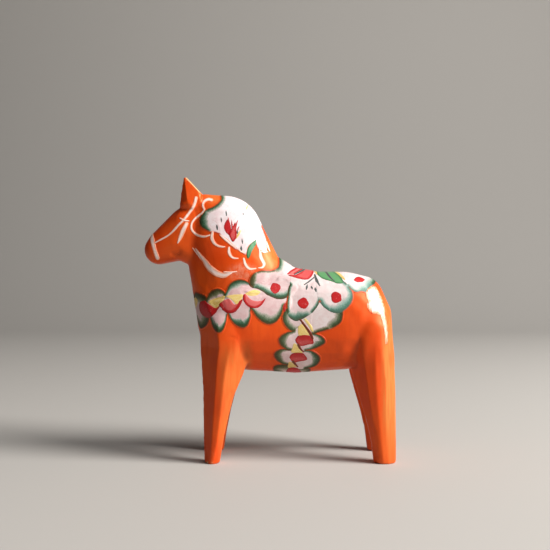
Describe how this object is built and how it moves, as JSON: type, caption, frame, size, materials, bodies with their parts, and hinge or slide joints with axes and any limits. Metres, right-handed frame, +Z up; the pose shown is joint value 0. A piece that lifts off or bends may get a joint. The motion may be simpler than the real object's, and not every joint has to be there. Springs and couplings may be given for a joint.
{
  "type": "dala horse",
  "caption": "Hand-carved standing wooden horse with kurbits brush ornament: mane, bridle, chest band, saddle and girth.",
  "frame": {"origin": "middle of the footprint's box, on the plane the four soles stand on", "axes": "+Z up, the horse faces -X, its left side faces -Y"},
  "size_m": [0.1157, 0.04, 0.13],
  "materials": {
    "orange_painted_pine": "knife-carved pine under glossy orange-red oil paint, worn at the edges",
    "cream_line_paint": "thin off-white brush paint, semi-gloss",
    "white_green_paint": "double-loaded brush paint, white running out to dark green, semi-gloss",
    "white_paint": "dry-brushed white paint, semi-gloss",
    "red_paint": "crimson brush paint, semi-gloss",
    "green_paint": "sea-green brush paint, semi-gloss",
    "yellow_paint": "ochre-yellow brush paint, semi-gloss",
    "grey_paint": "thin grey-black brush paint, semi-gloss",
    "maroon_paint": "dark red-brown brush paint, semi-gloss"
  },
  "bodies": {
    "root": {"carved_body": "orange_painted_pine", "noseband_line": "cream_line_paint", "cheek_line": "cream_line_paint", "cheek_dash": "cream_line_paint", "brow_curl": "cream_line_paint", "neck_curls": "cream_line_paint", "rein_stroke": "cream_line_paint", "withers_curl": "cream_line_paint", "mane_patch": "white_green_paint", "mane_leaf_red": "red_paint", "mane_leaf_green": "green_paint", "mane_seed_marks": "grey_paint", "chest_scallops_upper": "white_green_paint", "chest_scallops_lower": "white_green_paint", "chest_yellow_wedges": "yellow_paint", "chest_red_scallops": "red_paint", "saddle_petals": "white_green_paint", "saddle_red_dots": "red_paint", "saddle_leaf_red": "red_paint", "saddle_leaf_green": "green_paint", "saddle_dashes": "grey_paint", "rump_petal": "white_green_paint", "rump_dot": "red_paint", "skirt_petals": "white_green_paint", "girth_petals": "white_green_paint", "girth_red_crescents": "red_paint", "girth_yellow_wedges": "yellow_paint", "girth_line": "maroon_paint", "tail_stroke": "white_paint"}
  },
  "joints": []
}
